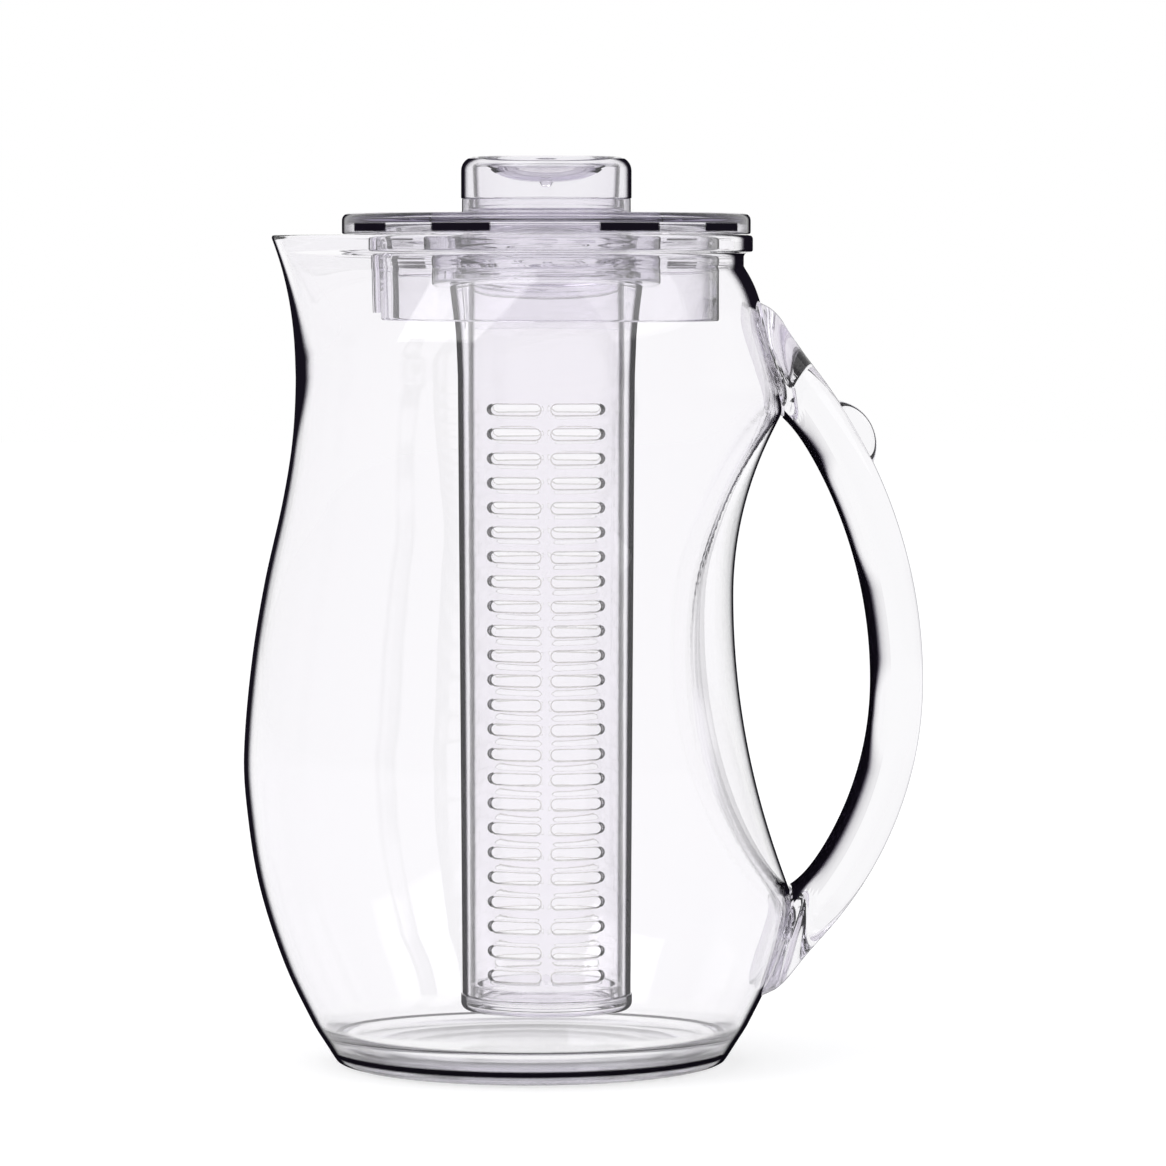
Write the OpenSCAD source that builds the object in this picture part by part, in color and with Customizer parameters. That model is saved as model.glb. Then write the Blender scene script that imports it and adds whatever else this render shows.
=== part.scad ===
// Fruit infuser pitcher: a clear jug with a bow handle, a lid with a hollow knob,
// and a slotted tube that hangs from the lid and holds the fruit.
// Z is up and the jug stands at Z = 0, centred on its own axis. The handle is on
// the +X side and the spout on the -X side. Lengths are millimetres.

/* [Jug] */
// Height of the jug's rim
rim_h = 238; // [215:1:260]
// Outer radius of the belly
belly_r = 82.4; // [78:0.2:88]
// Thickness of the wall
wall = 2.8; // [2:0.1:3.6]
// Outer radius of the flat ring that the jug stands on
foot_r = 51; // [46:0.5:54]
// Width of that flat ring
foot_w = 5; // [3:0.5:8]
// Depth of the hollow under the base
punt_h = 3; // [1:0.5:4]
// Thickness of the base
base_t = 5; // [4:0.5:7]

/* [Mouth and spout] */
// Distance of the mouth's axis from the jug's axis, towards the handle
mouth_x = 4.5; // [2:0.5:7]
// Outer radius of the neck under the rim
neck_r = 56.5; // [55:0.1:58]
// Width that the rim stands out from the neck
rim_w = 2.6; // [1.5:0.1:4]
// Height of the rim's band
rim_t = 5; // [3:0.5:7]
// Reach of the spout's tip from the jug's axis
spout_x = 74.2; // [70:0.2:78]
// Outer radius of the spout's tip in plan
spout_r = 10; // [8:0.5:14]

/* [Scoop] */
// Distance of the scoop's deepest line from the jug's axis
scoop_x = 58.2; // [56:0.2:64]
// Height of the scoop's deepest line
scoop_h = 135; // [128:1:142]
// Radius of the scoop's profile above that line
scoop_top_r = 103; // [90:1:115]
// Radius of the scoop's profile below that line
scoop_low_r = 228; // [200:1:260]
// Radius of the scoop's face in plan
scoop_plan_r = 155; // [120:5:200]
// Swell of the wall above the scoop, where the handle's upper root sits
hip_out = 6.4; // [0:0.1:8]
// Height at which that swell is greatest
hip_h = 188; // [184:0.5:192]
// Distance above that height over which the swell dies out
hip_rise = 27; // [22:0.5:32]
// Distance below that height over which the swell grows
hip_fall = 38; // [30:0.5:44]

/* [Handle] */
// Reach of the handle's outer edge from the jug's axis
handle_x = 112.5; // [108:0.5:118]
// Height of the point where the handle reaches out furthest
handle_h = 110; // [106:1:114]
// Radius of the outer edge above that point
handle_top_r = 145.6; // [140:0.2:150]
// Radius of the outer edge below that point
handle_low_r = 107.7; // [104:0.1:112]
// Thickness of the handle in profile
handle_t = 14.8; // [12:0.2:18]
// Width of the handle
handle_w = 22; // [18:1:28]
// Radius of the handle's long edges
handle_edge_r = 6.4; // [3:0.2:7]
// Width of the pads where the handle meets the jug
pad_w = 40; // [30:1:46]
// Height of those pads
pad_h = 32; // [26:1:38]
// Thickness of those pads at their middle
pad_t = 5; // [3:0.5:8]
// Radius of the thumb rest
thumb_r = 13.1; // [11:0.1:16]
// Height of the thumb rest above the handle's outer edge
thumb_out = 4.5; // [3:0.1:6]
// Width of the thumb rest
thumb_w = 12; // [8:1:16]
// Space between the handle and the way that the lid is lifted off
handle_lid_gap = 1; // [0.5:0.1:3]

/* [Lid] */
// Outer radius of the lid
lid_r = 58.5; // [57:0.1:60]
// Height of the lid's edge
lid_edge_h = 6; // [5:0.2:8]
// Thickness of the lid's plate
plate_t = 2.8; // [2:0.1:4]
// Width of the lip round the lid's underside
lip_w = 3.2; // [2.5:0.1:4]
// Radius of the lid's top edge
lid_edge_r = 2; // [1:0.1:2.4]
// Outer radius of the guard ring under the lid
guard_r = 49.5; // [46:0.1:51]
// Thickness of the guard ring
guard_t = 2.2; // [1.6:0.1:3]
// Depth of the guard ring below the lid's seat
guard_h = 25; // [18:0.5:30]
// Width of the pouring window in the guard ring
window_w = 34; // [26:1:40]
// Width of the bars across the pouring window
bar_w = 2; // [1.6:0.1:3]
// Outer radius of the threaded collar
collar_r = 32.8; // [30:0.2:36]
// Depth of the threaded collar below the lid's seat
collar_h = 12.4; // [10:0.2:14]
// Height of the neck that carries the knob
knob_neck_h = 4.2; // [3:0.1:6]
// Thickness of that neck
knob_neck_t = 1.7; // [1.4:0.1:2.4]

/* [Knob] */
// Outer radius of the knob
knob_r = 24.4; // [23:0.1:26]
// Height of the knob's cap
knob_h = 12; // [10:0.2:16]
// Thickness of the knob's side
knob_t = 3.2; // [2.5:0.1:4]
// Radius of the knob's top edge
knob_edge_r = 4; // [2.8:0.1:4.4]
// Radius of the dished finger recess in the knob's top
recess_r = 15.5; // [12:0.1:16]
// Depth of that recess
recess_h = 6; // [4:0.2:7]
// Thickness of the knob's top
knob_top_t = 2.2; // [1.6:0.1:3]
// Depth of the knob's spigot in the lid's neck
spigot_h = 3; // [2:0.2:4]
// Thickness of that spigot
spigot_t = 1.8; // [1.4:0.1:2.4]

/* [Infuser tube] */
// Inner radius of the tube's mouth
tube_bore_r = 22.4; // [21:0.1:23]
// Thickness of the tube's wall
tube_t = 2.2; // [1.8:0.1:2.8]
// Radius of the tube's shoulder, which stops it under the collar
shoulder_r = 27.6; // [27:0.1:29]
// Outer radius of the tube just below the shoulder
tube_top_r = 25.4; // [25:0.1:26.5]
// Outer radius of the tube at its lower end
tube_low_r = 24.2; // [23:0.1:25]
// Height of the tube's underside above the base
tube_z = 16; // [14:0.5:24]
// Height that the thread stands out from the tube's neck
thread_h = 1.4; // [1:0.1:1.8]
// Pitch of the thread
thread_pitch = 4; // [3:0.2:5]
// Number of rows of slots
slot_rows = 24; // [12:1:24]
// Distance from one row to the next
slot_pitch = 7; // [5.6:0.1:7]
// Height of a slot
slot_h = 3.1; // [2.4:0.1:3.6]
// Length of a slot, measured across the tube
slot_w = 15; // [10:0.5:16]
// Width of the rib between the two columns of slots
slot_rib = 3.1; // [2:0.1:5]
// Height of the lowest row above the tube's underside
slot_z = 11.5; // [10:0.5:14]

/* [End cap] */
// Height of the cap that closes the tube's lower end
cap_h = 4.5; // [4.2:0.1:6]
// Radius of the cap's lower edge
cap_edge_r = 3.6; // [2:0.1:4]
// Width that the cap's seam stands out from the tube
seam_w = 0.4; // [0.2:0.1:0.8]
// Depth of the cap's spigot in the tube
cap_spigot_h = 3; // [2:0.2:5]

/* [Clearances] */
// Gap between the lid's lip and the jug's rim
lid_gap = 0.2; // [0.1:0.1:0.5]
// Gap between the thread's crests and the collar's bore
thread_gap = 0.5; // [0.3:0.1:0.7]
// Gap round a spigot
spigot_gap = 0.1; // [0.05:0.05:0.2]

/* [Hidden] */

// Facets of a true round surface, and of a shape that comes back as triangles
round_fn = 96;
coarse_fn = 32;
// Overrun of a cut past the face that it leaves
over = 1;

// Points round the jug, and the step for the slope of its plan
plan_steps = 64;
slope_step = 0.5;

// The belly's outline: shares of the rim's height against shares of the belly's radius
belly_shares = [
    [0.0084, 0.687], [0.0265, 0.720], [0.0500, 0.762], [0.1240, 0.863], [0.2200, 0.950],
    [0.3150, 0.992], [0.3780, 1.000], [0.4870, 0.972], [0.5830, 0.926], [0.6800, 0.863],
    [0.7525, 0.829], [0.8235, 0.817], [1.0000, 0.817]
];
// The base's rounded corner: shares of the way from the foot to the belly's first point
corner_shares = [[0, 0], [0.35, 0.07], [0.7, 0.3], [0.9, 0.62]];
// Heights of the jug's rings, as shares of the rim's height
outer_shares = [
    0.0084, 0.0265, 0.05, 0.085, 0.12, 0.16, 0.2, 0.24, 0.28, 0.32, 0.36, 0.4, 0.44, 0.48,
    0.52, 0.56, 0.6, 0.64, 0.68, 0.71, 0.735, 0.76, 0.785, 0.81, 0.84, 0.87, 0.895, 0.915,
    0.932, 0.947, 0.962
];
// Where the flare of the spout and the turn of the shoulder start and how fast they grow
flare_low_share = 0.8235;
flare_power = 2.4;
shoulder_low_share = 0.84;
shoulder_top_share = 0.962;
shoulder_power = 3.2;
// The spout's lobe keeps this share of the body's radius where it starts
lobe_share = 0.9;
// Softness of the edges of the lobe and of the scoop
lobe_soft = spout_r * 0.5;
scoop_soft = wall * 0.7;

rim_low = rim_h - rim_t;
shoulder_low = rim_h * shoulder_low_share;
shoulder_top = rim_h * shoulder_top_share;
flare_low = rim_h * flare_low_share;
waist_r = belly_r * belly_shares[len(belly_shares) - 1][1];

function mix(a, b, t) = a + (b - a) * t;
function clamp(t) = min(max(t, 0), 1);
function ease(t) = clamp(t) * clamp(t) * (3 - 2 * clamp(t));
function soft_max(a, b, k) = (a + b + sqrt((a - b) * (a - b) + k * k)) / 2;
function soft_min(a, b, k) = (a + b - sqrt((a - b) * (a - b) + k * k)) / 2;

// A smooth curve through a table of [place, value] rows
function row_slope(rows, i) =
    let (a = rows[max(i - 1, 0)], b = rows[min(i + 1, len(rows) - 1)])
    (b[1] - a[1]) / (b[0] - a[0]);
function row_at(rows, x, i = 0) =
    i >= len(rows) - 2 || x < rows[i + 1][0] ? i : row_at(rows, x, i + 1);
function curve(rows, x) =
    let (
        i = row_at(rows, x),
        step = rows[i + 1][0] - rows[i][0],
        t = clamp((x - rows[i][0]) / step)
    )
    rows[i][1] * (1 + 2 * t) * (1 - t) * (1 - t)
    + rows[i + 1][1] * t * t * (3 - 2 * t)
    + row_slope(rows, i) * step * t * (1 - t) * (1 - t)
    - row_slope(rows, i + 1) * step * t * t * (1 - t);

// The jug's plan at a height: a body circle, drawn out into the spout's lobe
function shoulder_turn(z) = clamp((z - shoulder_low) / (shoulder_top - shoulder_low));
function spout_turn(z) = clamp((z - flare_low) / (rim_h - flare_low));
function centre_x(z) = mouth_x * ease(shoulder_turn(z));
function side_x(z) =
    z < shoulder_low ? belly_r * curve(belly_shares, z / rim_h)
    : mix(waist_r, neck_r + mouth_x, pow(shoulder_turn(z), shoulder_power));
function body_r(z) = side_x(z) - centre_x(z);
function tip_x(z) =
    z < flare_low ? side_x(z) : mix(waist_r, spout_x, pow(spout_turn(z), flare_power));
function tip_r(z) = mix(body_r(z) * lobe_share, spout_r, ease(spout_turn(z)));
function reach(z, a) = soft_max(
    centre_x(z) * cos(a) + body_r(z),
    (tip_r(z) - tip_x(z)) * cos(a) + tip_r(z),
    lobe_soft * ease(spout_turn(z))
);
function reach_slope(z, a) =
    (reach(z, a + slope_step) - reach(z, a - slope_step)) / (2 * slope_step * PI / 180);

// The scoop behind the handle: two arcs in profile, and an arc in plan
function scoop_arc(r, dz) = r - sqrt(max(r * r - dz * dz, 0));
function scoop_face(z, y) =
    scoop_x + scoop_arc(z > scoop_h ? scoop_top_r : scoop_low_r, z - scoop_h)
    - y * y / (2 * scoop_plan_r);

// The swell above the scoop, and how much it stretches the half towards the handle
function hip(z) = hip_out * (
    z < hip_h ? 1 - ease((hip_h - z) / hip_fall)
    : 1 - ease((z - hip_h) / hip_rise)
);
function hip_stretch(z, x) = x > 0 ? 1 + hip(z) / body_r(z) : 1;

// One point of the jug's skin at height z, with its normal at angle a in plan
function skin_point(z, a, inset) =
    let (
        h = reach(z, a) - inset,
        s = reach_slope(z, a),
        across = h * cos(a) - s * sin(a),
        x = across * hip_stretch(z, across),
        y = h * sin(a) + s * cos(a)
    )
    [soft_min(x, scoop_face(z, y) - inset, scoop_soft), y, z];
function skin_ring(z, inset) =
    [for (i = [0:plan_steps - 1]) skin_point(z, i * 360 / plan_steps, inset)];

// The rim's band runs round the mouth and fades into the spout's lip
function band_w(a) = rim_w * (1 - ease((-cos(a) - 0.3) / 0.6));
function band_ring(z, share) =
    [for (i = [0:plan_steps - 1])
        let (a = i * 360 / plan_steps)
        skin_point(z, a, -band_w(a) * share)];
function disc_ring(r, z) =
    [for (i = [0:plan_steps - 1])
        let (a = i * 360 / plan_steps)
        [r * cos(a), r * sin(a), z]];

corner_z = rim_h * belly_shares[0][0];
corner_r = belly_r * belly_shares[0][1];
floor_low = punt_h + base_t;
floor_r = foot_r;
rim_round = wall * 0.4;
punt_r = foot_r - foot_w;

function outer_rings() = concat(
    [for (s = corner_shares) disc_ring(mix(foot_r, corner_r, s[0]), corner_z * s[1])],
    [for (s = outer_shares) skin_ring(rim_h * s, 0)],
    [
        skin_ring(rim_low - rim_round, 0),
        band_ring(rim_low, 0.6),
        band_ring(rim_low + rim_round, 1),
        band_ring(rim_h - rim_round, 1),
        band_ring(rim_h, 0.7)
    ]
);
function inner_rings() = concat(
    [skin_ring(rim_h, wall * 0.8), skin_ring(rim_h - rim_round, wall)],
    [for (i = [len(outer_shares) - 1:-1:0])
        let (z = rim_h * outer_shares[i])
        if (z > floor_low + wall * 2)
            skin_ring(z, wall)],
    [
        disc_ring(floor_r + wall * 1.9, floor_low + wall * 0.8),
        disc_ring(floor_r + wall * 0.5, floor_low + wall * 0.1),
        disc_ring(floor_r - wall, floor_low),
        disc_ring(floor_r * 0.1, floor_low)
    ]
);
function punt_rings() = [
    disc_ring(punt_r * 0.1, punt_h),
    disc_ring(punt_r * 0.6, punt_h * 0.8),
    disc_ring(punt_r, 0)
];

// A closed solid through a stack of rings
module ring_solid(rings) {
    n = plan_steps;
    last = (len(rings) - 1) * n;
    sides = [for (k = [0:len(rings) - 2])
        for (i = [0:n - 1])
            let (a = k * n + i, b = k * n + (i + 1) % n)
            each [[a, a + n, b], [b, a + n, b + n]]];
    low_face = [[for (i = [0:n - 1]) i]];
    top_face = [[for (i = [n - 1:-1:0]) last + i]];
    polyhedron([for (r = rings) each r], concat(sides, low_face, top_face));
}

module jug() {
    color([0.93, 0.93, 0.96, 0.35])
        ring_solid(concat(punt_rings(), outer_rings(), inner_rings()));
}

// Everything inside the jug's outer skin
module jug_block() {
    ring_solid(outer_rings());
}

handle_top_turn = 56;
handle_low_turn = 66;
thumb_turn = 29.7;
top_arc_x = handle_x - handle_top_r;
low_arc_x = handle_x - handle_low_r;
top_mid_r = handle_top_r - handle_t / 2;
low_mid_r = handle_low_r - handle_t / 2;
// Turns along the two arcs at which the pads' middles lie
pad_top_turn = 42;
pad_low_turn = 48.2;
// Lean of the pads, which follow the wall
pad_top_lean = 4;
pad_low_lean = -24;

module handle_section() {
    flat_t = handle_t - 2 * handle_edge_r;
    flat_w = handle_w - 2 * handle_edge_r;
    square([flat_t, handle_w], center = true);
    square([handle_t, flat_w], center = true);
    for (i = [-1, 1], k = [-1, 1])
        translate([i * flat_t / 2, k * flat_w / 2])
            circle(handle_edge_r, $fn = coarse_fn);
}

module handle_arc(x, r, from, turn) {
    translate([x, 0, handle_h])
        rotate([90, 0, 0])
            rotate([0, 0, from])
                rotate_extrude(angle = turn, $fn = round_fn)
                    translate([r - handle_t / 2, 0])
                        handle_section();
}

module handle_pad(z, lean) {
    translate([side_x(z) + hip(z), 0, z])
        rotate([0, -lean, 0])
            resize([2 * pad_t, pad_w, pad_h])
                sphere(pad_w / 2, $fn = coarse_fn);
}

module thumb_rest() {
    translate([top_arc_x, 0, handle_h])
        rotate([0, -thumb_turn, 0])
            translate([handle_top_r + thumb_out - thumb_r, 0, 0])
                rotate([90, 90, 0])
                    rotate_extrude(angle = 180, $fn = round_fn)
                        translate([0, -thumb_w / 2])
                            square([thumb_r, thumb_w]);
}

// The way that the lid is lifted off
module lid_way() {
    translate([mouth_x, 0, rim_h])
        cylinder(h = handle_top_r, r = lid_r + handle_lid_gap, $fn = round_fn);
}

module handle() {
    color([0.93, 0.93, 0.96, 0.35])
        difference() {
            union() {
                handle_arc(top_arc_x, handle_top_r, 0, handle_top_turn);
                handle_arc(low_arc_x, handle_low_r, -handle_low_turn, handle_low_turn);
                handle_pad(handle_h + top_mid_r * sin(pad_top_turn), pad_top_lean);
                handle_pad(handle_h - low_mid_r * sin(pad_low_turn), pad_low_lean);
                thumb_rest();
            }
            jug_block();
            lid_way();
        }
}

lid_z = rim_h + lid_gap;
lid_top = lid_z + lid_edge_h;
plate_z = lid_top - plate_t;
collar_bore_r = tube_bore_r + tube_t + thread_h + thread_gap;
knob_z = lid_top + knob_neck_h;
knob_neck_r = knob_r - knob_neck_t * 0.15;
neck_bore_r = knob_neck_r - knob_neck_t;
// Bars across the pouring window, and how much shorter they are than the guard
bar_count = 5;
bar_short = 2;

// A ring in profile, from one radius to the other
module ring_profile(r_in, r_out, z_low, z_top) {
    translate([r_in, z_low])
        square([r_out - r_in, z_top - z_low]);
}

module lid_profile() {
    ring_profile(neck_bore_r, lid_r - lid_edge_r, plate_z, lid_top);
    ring_profile(lid_r - lip_w, lid_r, lid_z, lid_top - lid_edge_r);
    ring_profile(lid_r - lip_w, lid_r - lid_edge_r, lid_z, lid_top);
    translate([lid_r - lid_edge_r, lid_top - lid_edge_r])
        circle(lid_edge_r, $fn = round_fn);
    ring_profile(guard_r - guard_t, guard_r, lid_z - guard_h, plate_z);
    ring_profile(collar_bore_r, collar_r, lid_z - collar_h, plate_z);
    ring_profile(neck_bore_r, knob_neck_r, plate_z, knob_z);
}

module lid() {
    color([0.90, 0.90, 0.94, 0.35])
        translate([mouth_x, 0, 0]) {
            difference() {
                rotate_extrude($fn = round_fn)
                    lid_profile();
                translate([-guard_r - over, -window_w / 2, lid_z - guard_h - over])
                    cube([guard_r, window_w, guard_h + over]);
            }
            guard_bars();
        }
}

module guard_bars() {
    bar_low = lid_z - guard_h + bar_short;
    bar_step = window_w / (bar_count + 1);
    intersection() {
        rotate_extrude($fn = round_fn)
            ring_profile(guard_r - guard_t, guard_r, bar_low, plate_z);
        for (i = [1:bar_count])
            translate([-guard_r - over, i * bar_step - window_w / 2 - bar_w / 2, bar_low])
                cube([guard_r, bar_w, plate_z - bar_low]);
    }
}

knob_top = knob_z + knob_h;
recess_z = knob_top - recess_h;
dish_r = (recess_r * recess_r + recess_h * recess_h) / (2 * recess_h);

module knob_hollow() {
    difference() {
        ring_profile(0, knob_r - knob_t, knob_z - over, knob_top - knob_top_t);
        translate([0, recess_z + dish_r])
            circle(dish_r + knob_top_t, $fn = round_fn);
    }
}

module knob_profile() {
    difference() {
        union() {
            ring_profile(0, knob_r - knob_edge_r, knob_z, knob_top);
            ring_profile(0, knob_r, knob_z, knob_top - knob_edge_r);
            translate([knob_r - knob_edge_r, knob_top - knob_edge_r])
                circle(knob_edge_r, $fn = round_fn);
        }
        knob_hollow();
        translate([0, recess_z + dish_r])
            circle(dish_r, $fn = round_fn);
    }
    ring_profile(
        neck_bore_r - spigot_gap - spigot_t, neck_bore_r - spigot_gap,
        knob_z - spigot_h, knob_z + knob_top_t
    );
}

module knob_cap() {
    color([0.90, 0.90, 0.94, 0.35])
        translate([mouth_x, 0, 0])
            rotate_extrude($fn = round_fn)
                knob_profile();
}

neck_out_r = tube_bore_r + tube_t;
seam_z = tube_z + cap_h;
shoulder_z = lid_z - collar_h - lid_gap;
shoulder_drop = (shoulder_r - neck_out_r) * 2;
taper_top_z = shoulder_z - shoulder_r;
tube_top = plate_z - lid_gap;
thread_turns = 3;

// Outer and inner outline of the tube's lower part
module tube_profile() {
    polygon([
        [tube_bore_r, tube_top],
        [neck_out_r, tube_top],
        [neck_out_r, shoulder_z],
        [shoulder_r, shoulder_z],
        [mix(tube_top_r, shoulder_r, 0.55), shoulder_z - shoulder_r * 0.3],
        [mix(tube_top_r, shoulder_r, 0.2), shoulder_z - shoulder_r * 0.6],
        [tube_top_r, taper_top_z],
        [tube_low_r, seam_z],
        [tube_low_r - tube_t, seam_z],
        [tube_bore_r, taper_top_z]
    ]);
    for (i = [0:thread_turns - 1])
        translate([neck_out_r, tube_top - thread_pitch * (i + 0.5)])
            polygon([
                [-over, thread_pitch * 0.35],
                [0, thread_pitch * 0.35],
                [thread_h, thread_pitch * 0.12],
                [thread_h, -thread_pitch * 0.12],
                [0, -thread_pitch * 0.35],
                [-over, -thread_pitch * 0.35]
            ]);
}

module slot_shape() {
    flat_w = slot_w - slot_h;
    square([flat_w, slot_h], center = true);
    for (i = [-1, 1])
        translate([i * flat_w / 2, 0])
            circle(slot_h / 2, $fn = coarse_fn);
}

module slots() {
    for (k = [0:slot_rows - 1], i = [-1, 1])
        translate([i * (slot_rib + slot_w) / 2, tube_z + slot_z + k * slot_pitch])
            slot_shape();
}

module infuser_tube() {
    color([0.92, 0.92, 0.95, 0.35])
        translate([mouth_x, 0, 0])
            difference() {
                rotate_extrude($fn = round_fn)
                    tube_profile();
                rotate([90, 0, 0])
                    linear_extrude(height = 2 * (shoulder_r + over), center = true)
                        slots();
            }
}

cap_r = tube_low_r + seam_w;
cap_spigot_r = tube_low_r - tube_t - spigot_gap;
cap_edge = min(cap_edge_r, cap_h - seam_w);

module cap_profile() {
    ring_profile(0, cap_r - cap_edge, tube_z, seam_z);
    ring_profile(0, cap_r, tube_z + cap_edge, seam_z);
    intersection() {
        translate([cap_r - cap_edge, tube_z + cap_edge])
            circle(cap_edge, $fn = round_fn);
        ring_profile(0, cap_r, tube_z, seam_z);
    }
    ring_profile(0, cap_spigot_r, tube_z, seam_z + cap_spigot_h);
}

module tube_end_cap() {
    color([0.92, 0.92, 0.95, 0.35])
        translate([mouth_x, 0, 0])
            difference() {
                rotate_extrude($fn = round_fn)
                    cap_profile();
                translate([0, 0, tube_z + tube_t])
                    cylinder(h = cap_h + cap_spigot_h, r = cap_spigot_r - tube_t, $fn = round_fn);
            }
}

jug();
handle();
lid();
knob_cap();
infuser_tube();
tube_end_cap();
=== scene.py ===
"""Looks of the fruit infuser pitcher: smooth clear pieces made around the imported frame.

Lengths below are millimetres, in the frame's own axes; MM turns them into metres when a mesh
is made. The driving sizes repeat those of the construction model.
"""

from math import acos, asin, copysign, cos, exp, hypot, pi, radians, sin, sqrt, tan

import bmesh
import bpy
import numpy as np
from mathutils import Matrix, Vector
from mathutils.geometry import delaunay_2d_cdt


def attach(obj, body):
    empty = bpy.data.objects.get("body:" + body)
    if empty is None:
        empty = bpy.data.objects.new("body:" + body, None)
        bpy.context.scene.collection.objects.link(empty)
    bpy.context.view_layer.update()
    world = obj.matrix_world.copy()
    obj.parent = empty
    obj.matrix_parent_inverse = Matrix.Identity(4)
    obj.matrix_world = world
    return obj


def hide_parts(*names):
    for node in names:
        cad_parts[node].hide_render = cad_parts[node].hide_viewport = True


MM = 0.001
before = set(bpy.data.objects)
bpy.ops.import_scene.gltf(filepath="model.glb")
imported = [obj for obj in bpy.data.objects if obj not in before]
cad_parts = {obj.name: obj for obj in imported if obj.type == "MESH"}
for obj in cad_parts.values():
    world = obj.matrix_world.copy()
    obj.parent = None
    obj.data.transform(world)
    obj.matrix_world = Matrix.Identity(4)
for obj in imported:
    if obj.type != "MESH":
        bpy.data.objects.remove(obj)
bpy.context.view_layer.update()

# How finely the round surfaces are divided
TURN_STEPS, PLAN_STEPS = 192, 288
# Angles in degrees beyond which an edge stays sharp
SHARP, SHARP_SKIN, SHARP_TUBE, SHARP_HANDLE = 38, 60, 50, 42
# Metres within which points are joined, and under which a face has no area
JOIN_DIST, THIN_DIST = 2e-6, 1e-7
# Radius under which a ring is a single point
NO_RADIUS = 1e-6
# How far a cutting tool stands past what it cuts
OVER = 1.0

# Jug
RIM_H, BELLY_R, WALL = 238.0, 82.4, 2.8
FOOT_R, FOOT_W, PUNT_H, BASE_T = 51.0, 5.0, 3.0, 5.0
MOUTH_X, NECK_R, RIM_W, RIM_T = 4.5, 56.5, 2.6, 5.0
SPOUT_X, SPOUT_R = 74.2, 10.0
SCOOP_X, SCOOP_H, SCOOP_TOP_R, SCOOP_LOW_R, SCOOP_PLAN_R = 58.2, 135.0, 103.0, 228.0, 155.0
HIP_OUT, HIP_H, HIP_RISE, HIP_FALL = 6.4, 188.0, 27.0, 38.0
# The profile: height as a share of the rim's, and radius as a share of the belly's
BELLY_SHARES = np.array([
    (0.0084, 0.687), (0.0265, 0.720), (0.0500, 0.762), (0.1240, 0.863), (0.2200, 0.950),
    (0.3150, 0.992), (0.3780, 1.000), (0.4870, 0.972), (0.5830, 0.926), (0.6800, 0.863),
    (0.7525, 0.829), (0.8235, 0.817), (1.0000, 0.817),
])
# Where the spout's flare and the shoulder's turn start and end, and how late they bend
FLARE_LOW, FLARE_POWER = RIM_H * 0.8235, 2.4
SHOULDER_LOW, SHOULDER_TOP, SHOULDER_POWER = RIM_H * 0.84, RIM_H * 0.962, 3.2
# Radius of the spout's lobe low down, and the widths over which lobe and scoop are blended in
LOBE_SHARE, LOBE_SOFT, SCOOP_SOFT = 0.9, SPOUT_R * 0.5, WALL * 0.7
WAIST_R = BELLY_R * BELLY_SHARES[-1, 1]
# How far towards the spout the rim's band starts to thin out, and over what
BAND_START, BAND_FADE = 0.3, 0.6
# Radius of the rounded rim
SOFT = WALL * 0.4
# From the foot's edge to the profile's first row: share of the way out, share of the height
FOOT_TURN = [(0.35, 0.07), (0.7, 0.3), (0.9, 0.62)]
# Lower edge of the rim's band: height in rim radii, share of the band's width
RIM_LIP = [(-0.35, 0.12), (-0.1, 0.45), (0.15, 0.8), (0.5, 1.0)]
# Heel inside the jug: share of the wall's radius, height over the floor in wall thicknesses
HEEL = [(0.985, 1.35), (0.955, 0.8), (0.915, 0.4), (0.86, 0.14), (0.8, 0.03), (0.7, 0.0)]
HEEL_H = WALL * 2
FLOOR_Z, FLOOR_SHARES = PUNT_H + BASE_T, (0.4, 0.15)
PUNT_POWER, PUNT_RINGS, PUNT_FIRST = 2.2, 10, 0.12
# Heights where the jug's rings change spacing, and the rings below, between and above
RINGS_LOW, RINGS_BODY = 30, 34
OUTER_RINGS, INNER_RINGS, RIM_RINGS = (16, 70, 34), (10, 68, 36), 4

# Handle
HANDLE_X, HANDLE_H, HANDLE_TOP_R, HANDLE_LOW_R = 112.5, 110.0, 145.6, 107.7
HANDLE_T, HANDLE_W, HANDLE_EDGE_R = 14.8, 22.0, 6.4
THUMB_R, THUMB_OUT, THUMB_W, THUMB_TURN = 13.1, 4.5, 12.0, 29.7
THUMB_EDGE_R, THUMB_SIDES = 1.6, 72
# Reach of the thumb rest's disc behind its middle, as a share of its radius
THUMB_BACK = 0.2
# Gap between the handle's roots and the jug's wall
HANDLE_GAP = 0.12
# How much wider and thicker the bow gets at its roots, and how near the wall that starts
FLARE_Y, FLARE_T, FLARE_REACH, FLARE_BEND = 0.8, 0.16, 5.5, 1.25
# Swell of the bow's outer side beside the roots, and its reach along the bow
FLARE_OUT, FLARE_OUT_REACH = 3.4, 12.0
# Rings of half the bow, how they crowd towards the root, and the spacing of a ring's points
BOW_RINGS, BOW_CROWD, BOW_SPACING = 64, 1.7, 1.6
# Rings that close a root, as shares of its outline
ROOT_SHARES = (0.85, 0.65, 0.4, 0.2)
# Degrees between which the bow meets the wall, and how often that range is halved
WALL_TURNS, HALVINGS = (8, 64), 40
# Pockets in the roots: x, z, half height, depth, half width, lean in degrees
POCKET_TOP = (70.3, 205.3, 12.0, 6.6, 9.5, 17.0)
POCKET_LOW = (71.5, 35.0, 13.0, 5.6, 9.5, -24.0)
POCKET_RINGS, POCKET_SIDES = 32, 48

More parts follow.
